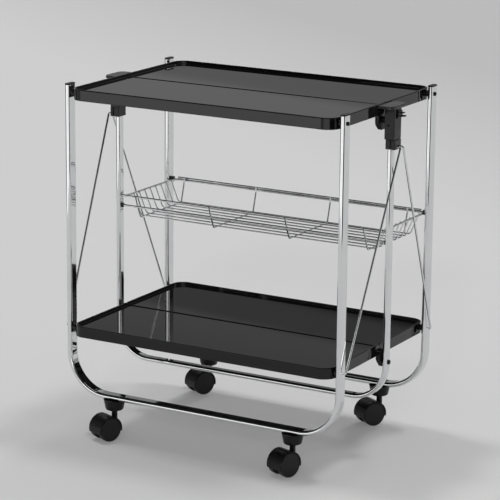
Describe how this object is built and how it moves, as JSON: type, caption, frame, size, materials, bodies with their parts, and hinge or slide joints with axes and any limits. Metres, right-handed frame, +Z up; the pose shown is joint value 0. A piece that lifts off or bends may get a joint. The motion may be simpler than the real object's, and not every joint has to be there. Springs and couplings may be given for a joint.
{
  "type": "folding serving cart",
  "caption": "Folding serving cart on swivel casters, with bent flat-oval tube frames, split trays, a wire basket and brace rods on sliding collars.",
  "frame": {"origin": "on the floor under the middle of the cart", "axes": "+X to the cart's right seen from the front, +Y to the rear where the basket is, +Z up"},
  "size_m": [0.6238, 0.4142, 0.6666],
  "materials": {
    "chrome_tube": "bright plated",
    "chrome_wire": "bright plated",
    "tray_black": "gloss",
    "black_plastic": "satin",
    "black_screw": "satin",
    "steel_pin": "plain",
    "wheel_black": "satin"
  },
  "bodies": {
    "front_frame": {"front_frame": "chrome_tube", "front_leg_caps": "black_plastic", "front_pivot_screws": "black_screw", "front_pivot_spacers": "black_plastic", "front_caster_sockets": "black_plastic"},
    "rear_frame": {"rear_frame": "chrome_tube", "rear_leg_caps": "black_plastic", "rear_pivot_screws": "black_screw", "rear_pivot_spacers": "black_plastic", "rear_caster_sockets": "black_plastic"},
    "top_front_shelf": {"top_front_tray": "tray_black", "top_front_hinge_ears": "black_plastic"},
    "top_rear_shelf": {"top_rear_tray": "tray_black", "top_rear_hinge_ears": "black_plastic"},
    "bottom_front_shelf": {"bottom_front_tray": "tray_black", "bottom_front_hinge_ears": "black_plastic"},
    "bottom_rear_shelf": {"bottom_rear_tray": "tray_black", "bottom_rear_hinge_ears": "black_plastic"},
    "centre_frame": {"centre_frame": "chrome_tube", "top_hinge_bolts": "black_screw", "bottom_hinge_bolts": "black_screw", "hinge_spacers": "black_plastic", "housing_screws": "black_screw", "left_housing": "black_plastic", "right_housing": "black_plastic", "left_grip": "black_plastic", "right_grip": "black_plastic", "basket_bushes": "black_plastic"},
    "basket": {"basket_rim": "chrome_wire", "basket_floor_wires": "chrome_wire", "basket_cross_wires": "chrome_wire", "basket_clips": "black_plastic"},
    "left_collar": {"left_collar": "black_plastic"},
    "left_release_lever": {"left_release_lever": "black_plastic"},
    "left_front_brace_rod": {"left_front_brace_rod": "chrome_wire"},
    "left_rear_brace_rod": {"left_rear_brace_rod": "chrome_wire"},
    "right_collar": {"right_collar": "black_plastic"},
    "right_release_lever": {"right_release_lever": "black_plastic"},
    "right_front_brace_rod": {"right_front_brace_rod": "chrome_wire"},
    "right_rear_brace_rod": {"right_rear_brace_rod": "chrome_wire"},
    "front_left_caster": {"front_left_caster_hood": "black_plastic", "front_left_caster_pins": "steel_pin"},
    "front_left_wheel_left": {"front_left_wheel_left": "wheel_black"},
    "front_left_wheel_right": {"front_left_wheel_right": "wheel_black"},
    "front_right_caster": {"front_right_caster_hood": "black_plastic", "front_right_caster_pins": "steel_pin"},
    "front_right_wheel_left": {"front_right_wheel_left": "wheel_black"},
    "front_right_wheel_right": {"front_right_wheel_right": "wheel_black"},
    "rear_left_caster": {"rear_left_caster_hood": "black_plastic", "rear_left_caster_pins": "steel_pin"},
    "rear_left_wheel_left": {"rear_left_wheel_left": "wheel_black"},
    "rear_left_wheel_right": {"rear_left_wheel_right": "wheel_black"},
    "rear_right_caster": {"rear_right_caster_hood": "black_plastic", "rear_right_caster_pins": "steel_pin"},
    "rear_right_wheel_left": {"rear_right_wheel_left": "wheel_black"},
    "rear_right_wheel_right": {"rear_right_wheel_right": "wheel_black"}
  },
  "joints": [
    {"name": "fold", "type": "hinge", "parent": "front_frame", "child": "top_front_shelf", "pos_m": [0, -0.172, 0.65], "axis": [1, 0, 0], "range_deg": [0, 78]},
    {"name": "centre_lift", "type": "hinge", "parent": "top_front_shelf", "child": "centre_frame", "pos_m": [0, 0, 0.628], "axis": [1, 0, 0], "range_deg": [-78, 0]},
    {"name": "top_rear_fold", "type": "hinge", "parent": "centre_frame", "child": "top_rear_shelf", "pos_m": [0, 0, 0.628], "axis": [1, 0, 0], "range_deg": [-78, 0]},
    {"name": "rear_frame_close", "type": "hinge", "parent": "top_rear_shelf", "child": "rear_frame", "pos_m": [0, 0.172, 0.65], "axis": [1, 0, 0], "range_deg": [0, 78]},
    {"name": "bottom_front_fold", "type": "hinge", "parent": "front_frame", "child": "bottom_front_shelf", "pos_m": [0, -0.172, 0.202], "axis": [1, 0, 0], "range_deg": [0, 78]},
    {"name": "bottom_rear_fold", "type": "hinge", "parent": "rear_frame", "child": "bottom_rear_shelf", "pos_m": [0, 0.172, 0.202], "axis": [1, 0, 0], "range_deg": [-78, 0]},
    {"name": "basket_fold", "type": "hinge", "parent": "rear_frame", "child": "basket", "pos_m": [0, 0.172, 0.426], "axis": [1, 0, 0], "range_deg": [-78, 0]},
    {"name": "left_collar_slide", "type": "slide", "parent": "centre_frame", "child": "left_collar", "axis": [0, 0, 1], "range_m": [-0.1544, 0]},
    {"name": "left_front_rod_swing", "type": "hinge", "parent": "front_frame", "child": "left_front_brace_rod", "pos_m": [-0.285, -0.172, 0.202], "axis": [1, 0, 0], "range_deg": [0, 16.54]},
    {"name": "left_rear_rod_swing", "type": "hinge", "parent": "rear_frame", "child": "left_rear_brace_rod", "pos_m": [-0.285, 0.172, 0.202], "axis": [1, 0, 0], "range_deg": [-16.54, 0]},
    {"name": "left_lever_pull", "type": "slide", "parent": "centre_frame", "child": "left_release_lever", "axis": [0, 0, 1], "range_m": [0, 0.005], "stiffness_N_per_m": 400},
    {"name": "right_collar_slide", "type": "slide", "parent": "centre_frame", "child": "right_collar", "axis": [0, 0, 1], "range_m": [-0.1544, 0]},
    {"name": "right_front_rod_swing", "type": "hinge", "parent": "front_frame", "child": "right_front_brace_rod", "pos_m": [0.285, -0.172, 0.202], "axis": [1, 0, 0], "range_deg": [0, 16.54]},
    {"name": "right_rear_rod_swing", "type": "hinge", "parent": "rear_frame", "child": "right_rear_brace_rod", "pos_m": [0.285, 0.172, 0.202], "axis": [1, 0, 0], "range_deg": [-16.54, 0]},
    {"name": "right_lever_pull", "type": "slide", "parent": "centre_frame", "child": "right_release_lever", "axis": [0, 0, 1], "range_m": [0, 0.005], "stiffness_N_per_m": 400},
    {"name": "front_left_swivel", "type": "hinge", "parent": "front_frame", "child": "front_left_caster", "pos_m": [-0.191, -0.172, 0.06], "axis": [0, 0, 1], "continuous": true},
    {"name": "front_left_left_roll", "type": "hinge", "parent": "front_left_caster", "child": "front_left_wheel_left", "pos_m": [-0.19868, -0.19101, 0.02275], "axis": [0.9272, -0.3746, 0], "continuous": true},
    {"name": "front_left_right_roll", "type": "hinge", "parent": "front_left_caster", "child": "front_left_wheel_right", "pos_m": [-0.19868, -0.19101, 0.02275], "axis": [0.9272, -0.3746, 0], "continuous": true},
    {"name": "front_right_swivel", "type": "hinge", "parent": "front_frame", "child": "front_right_caster", "pos_m": [0.191, -0.172, 0.06], "axis": [0, 0, 1], "continuous": true},
    {"name": "front_right_left_roll", "type": "hinge", "parent": "front_right_caster", "child": "front_right_wheel_left", "pos_m": [0.18433, -0.19138, 0.02275], "axis": [0.9455, -0.3256, 0], "continuous": true},
    {"name": "front_right_right_roll", "type": "hinge", "parent": "front_right_caster", "child": "front_right_wheel_right", "pos_m": [0.18433, -0.19138, 0.02275], "axis": [0.9455, -0.3256, 0], "continuous": true},
    {"name": "rear_left_swivel", "type": "hinge", "parent": "rear_frame", "child": "rear_left_caster", "pos_m": [-0.191, 0.172, 0.06], "axis": [0, 0, 1], "continuous": true},
    {"name": "rear_left_left_roll", "type": "hinge", "parent": "rear_left_caster", "child": "rear_left_wheel_left", "pos_m": [-0.19999, 0.15357, 0.02275], "axis": [0.8988, -0.4384, 0], "continuous": true},
    {"name": "rear_left_right_roll", "type": "hinge", "parent": "rear_left_caster", "child": "rear_left_wheel_right", "pos_m": [-0.19999, 0.15357, 0.02275], "axis": [0.8988, -0.4384, 0], "continuous": true},
    {"name": "rear_right_swivel", "type": "hinge", "parent": "rear_frame", "child": "rear_right_caster", "pos_m": [0.191, 0.172, 0.06], "axis": [0, 0, 1], "continuous": true},
    {"name": "rear_right_left_roll", "type": "hinge", "parent": "rear_right_caster", "child": "rear_right_wheel_left", "pos_m": [0.18044, 0.15443, 0.02275], "axis": [0.8572, -0.515, 0], "continuous": true},
    {"name": "rear_right_right_roll", "type": "hinge", "parent": "rear_right_caster", "child": "rear_right_wheel_right", "pos_m": [0.18044, 0.15443, 0.02275], "axis": [0.8572, -0.515, 0], "continuous": true}
  ],
  "couplings": [
    {"joint": "centre_lift", "follows": "fold", "ratio": -1},
    {"joint": "top_rear_fold", "follows": "fold", "ratio": -1},
    {"joint": "rear_frame_close", "follows": "fold", "ratio": 1},
    {"joint": "bottom_front_fold", "follows": "fold", "ratio": 1},
    {"joint": "bottom_rear_fold", "follows": "fold", "ratio": -1},
    {"joint": "basket_fold", "follows": "fold", "ratio": -1},
    {"joint": "left_collar_slide", "follows": "fold", "m_per_rad": -0.11305},
    {"joint": "left_front_rod_swing", "follows": "fold", "ratio": 0.21139},
    {"joint": "left_rear_rod_swing", "follows": "fold", "ratio": -0.21139},
    {"joint": "right_collar_slide", "follows": "fold", "m_per_rad": -0.11305},
    {"joint": "right_front_rod_swing", "follows": "fold", "ratio": 0.21139},
    {"joint": "right_rear_rod_swing", "follows": "fold", "ratio": -0.21139}
  ]
}
